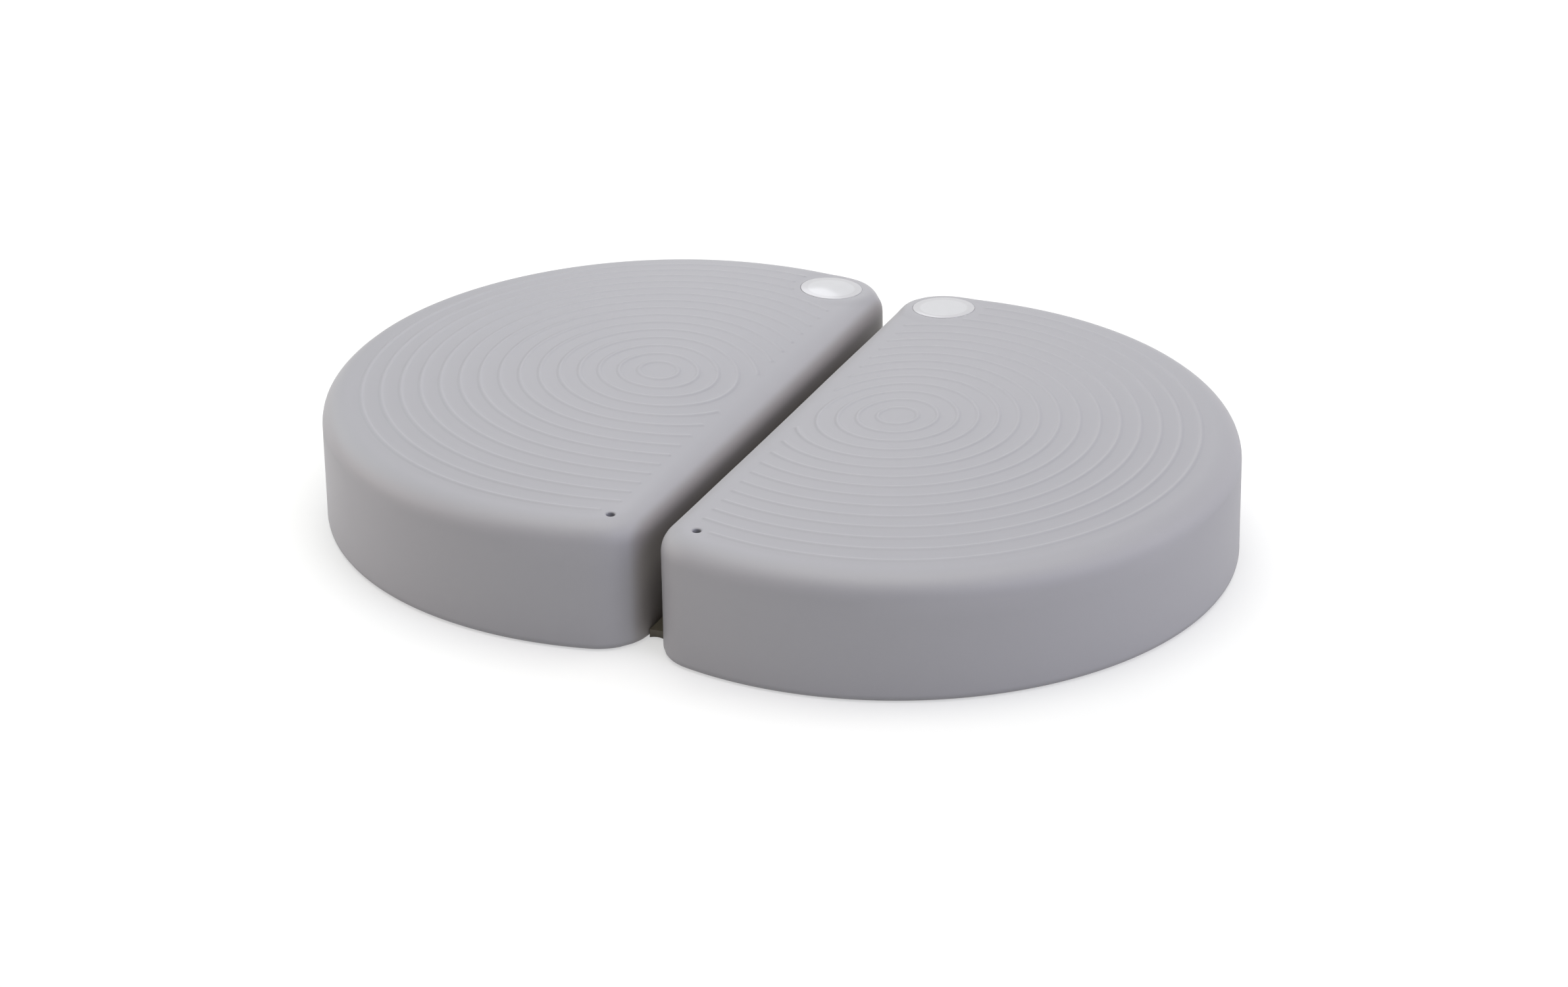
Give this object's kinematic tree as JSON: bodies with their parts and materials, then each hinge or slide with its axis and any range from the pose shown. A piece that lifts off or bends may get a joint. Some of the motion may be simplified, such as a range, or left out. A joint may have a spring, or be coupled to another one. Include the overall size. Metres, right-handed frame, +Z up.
{
  "type": "two-chamber balance cushion",
  "caption": "Inflated balance cushion in two half-moon pods with concentric ribs, joined at the base by a flexible folding web.",
  "frame": {"origin": "On the floor, at the centre of the underside's bounding box, midway between the two pods.", "axes": "+X from the left pod to the right pod across the gap, +Y along the gap from the valve ends to the badge ends, +Z up."},
  "size_m": [0.518, 0.3734, 0.0802],
  "materials": {
    "vinyl": "matte",
    "web": "matte",
    "valve": "matte",
    "badge": "gloss"
  },
  "bodies": {
    "left_pod": {"left_chamber": "vinyl", "left_needle_valve": "valve", "left_badge": "badge", "fold_web": "web"},
    "right_pod": {"right_chamber": "vinyl", "right_needle_valve": "valve", "right_badge": "badge"}
  },
  "joints": [
    {"name": "web_fold", "type": "hinge", "parent": "left_pod", "child": "right_pod", "pos_m": [0, 0, 0], "axis": [0, 1, 0], "range_deg": [-9, 175], "deforming": ["fold_web"]}
  ]
}
